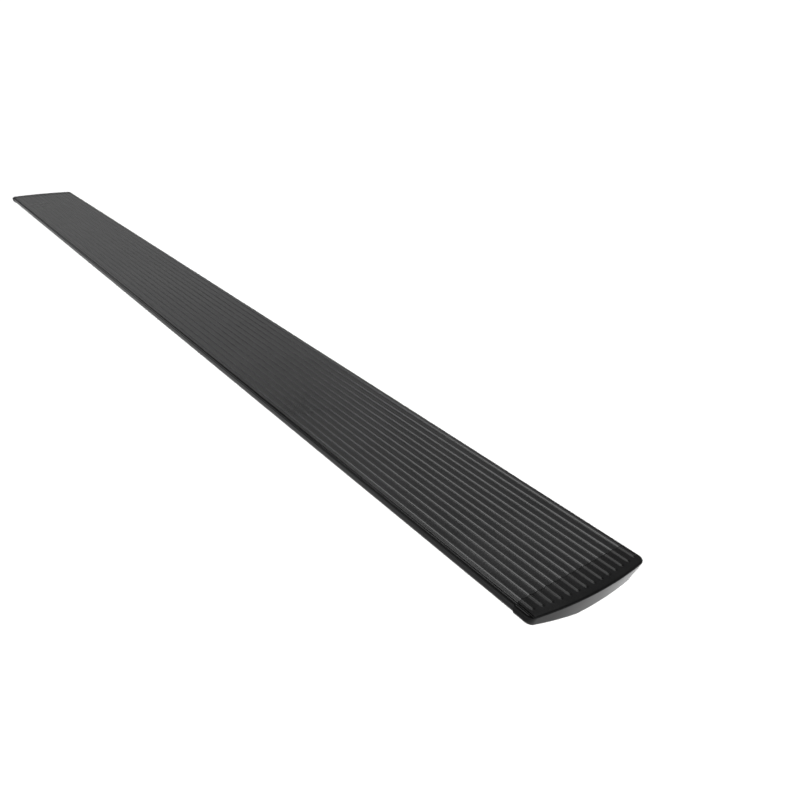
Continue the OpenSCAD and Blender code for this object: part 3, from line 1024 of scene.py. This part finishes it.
def share_along(tree, place, direction, start, stop):
    """How far a place lies from start to stop, in metres along a direction, as 0 to 1."""
    share = tree.nodes.new("ShaderNodeMapRange")
    share.inputs["From Min"].default_value = start
    share.inputs["From Max"].default_value = stop
    tree.links.new(along(tree, place, direction), share.inputs["Value"])
    return share.outputs["Result"]


def glow_material(name, strength):
    """A black material that only gives out light, white unless something else is linked to it."""
    paint, tree, shader, place = node_material(name)
    shader.inputs["Base Color"].default_value = (0, 0, 0, 1)
    shader.inputs["Specular IOR Level"].default_value = 0.0
    shader.inputs["Emission Color"].default_value = (1, 1, 1, 1)
    shader.inputs["Emission Strength"].default_value = strength
    return paint, tree, shader, place


def ground(name, depth):
    """A level plane, far wider than the view, this many metres below the board."""
    bm = bmesh.new()
    bmesh.ops.create_grid(bm, x_segments=1, y_segments=1, size=GROUND_HALF)
    plane = new_object(name, bm)
    plane.location.z = -depth
    return plane


def pale_floor():
    """The floor that the eye sees, far enough down for the board's own shadow to melt away."""
    floor = ground("floor", FLOOR_DEPTH)
    paint, tree, shader, place = node_material("floor")
    drift = noise(tree, place, 0.8)
    tree.links.new(ramp(tree, drift, [(0.3, 0.88), (0.7, 0.90)]), shader.inputs["Base Color"])
    shader.inputs["Roughness"].default_value = 0.9
    shader.inputs["Specular IOR Level"].default_value = 0.0
    floor.data.materials.append(paint)
    floor.visible_diffuse = False
    floor.visible_glossy = False
    floor.visible_shadow = False


def bounce_light():
    """Light sent up to the board by a plane that the eye doesn't see, strongest on the vehicle side."""
    bounce = ground("bounce", BOUNCE_DEPTH)
    paint, tree, shader, place = glow_material("bounce", 1.24)
    end = share_along(tree, place, (-0.80, 0.59, 0), -5.0, 4.0)
    side = share_along(tree, place, (0, 1, 0), -8.0, 4.0)
    # dimmer in front of the near end and out past the nose
    level_end = ramp(tree, end, [(0.167, 0.84), (0.356, 0.42), (0.544, 0.42), (0.672, 0.84)])
    level_side = ramp(tree, side, [(0.042, 1.0), (0.25, 0.5), (0.458, 0.5), (0.642, 1.0)])
    # and a brighter patch behind the board, as the camera sees it
    glow_end = ramp(tree, end, [(0.667, 0.0), (0.75, 1.0), (0.889, 1.0), (1.0, 0.0)])
    glow_side = ramp(tree, side, [(0.692, 0.0), (0.842, 1.0)])
    level = maths(tree, "MULTIPLY", level_end, level_side)
    glow = maths(tree, "MULTIPLY", glow_end, glow_side)
    tree.links.new(added(tree, level, glow, 0.82), shader.inputs["Emission Color"])
    bounce.data.materials.append(paint)
    bounce.visible_camera = False
    bounce.visible_shadow = False


def white_backdrop():
    """White all round for the eye alone: reflections see the studio beyond it."""
    bm = bmesh.new()
    bmesh.ops.create_icosphere(bm, subdivisions=4, radius=BACKDROP_R)
    backdrop = new_object("backdrop", bm)
    backdrop.data.materials.append(glow_material("backdrop", 1.1)[0])
    backdrop.visible_diffuse = False
    backdrop.visible_glossy = False
    backdrop.visible_transmission = False
    backdrop.visible_shadow = False


def softbox(name, azimuth, height, across, energy):
    """A far disc of light, this many degrees across."""
    sun = bpy.data.lights.new(name, "SUN")
    sun.energy = energy
    sun.angle = math.radians(across)
    lamp = bpy.data.objects.new(name, sun)
    bpy.context.scene.collection.objects.link(lamp)
    turn, lift = math.radians(azimuth), math.radians(height)
    towards = Vector((math.cos(lift) * math.cos(turn), math.cos(lift) * math.sin(turn), math.sin(lift)))
    lamp.rotation_euler = towards.to_track_quat("Z", "Y").to_euler()


DIM_AZIMUTH = math.radians(44)  # the side on which the sky is dimmed


def studio_sky():
    """What the board mirrors: a lit horizon, and a bright band above it that dims toward one side."""
    world = bpy.data.worlds.new("studio")
    world.use_nodes = True
    bpy.context.scene.world = world
    tree = world.node_tree
    direction = tree.nodes.new("ShaderNodeTexCoord").outputs["Generated"]
    split = tree.nodes.new("ShaderNodeSeparateXYZ")
    tree.links.new(direction, split.inputs["Vector"])
    height = split.outputs["Z"]
    horizon = ramp(tree, height, [(0.055, 0.5), (0.10, 0.0)])
    band = ramp(tree, height, [(0.12, 0.05), (0.20, 0.10), (0.30, 0.92), (0.44, 0.30), (0.6, 0.11)])
    facing = along(tree, direction, (math.cos(DIM_AZIMUTH), math.sin(DIM_AZIMUTH), 0))
    shade = ramp(tree, facing, [(0.0, 1.0), (0.5, 0.04)])
    dimmed = maths(tree, "MULTIPLY", band, shade)
    light = added(tree, dimmed, horizon, 1.0)
    tree.links.new(light, tree.nodes["Background"].inputs["Color"])


pale_floor()
bounce_light()
white_backdrop()
softbox("key", 187, 68, 55, 3.1)
softbox("fill", 320, 50, 60, 0.8)
studio_sky()
bpy.context.scene.view_settings.view_transform = "Standard"
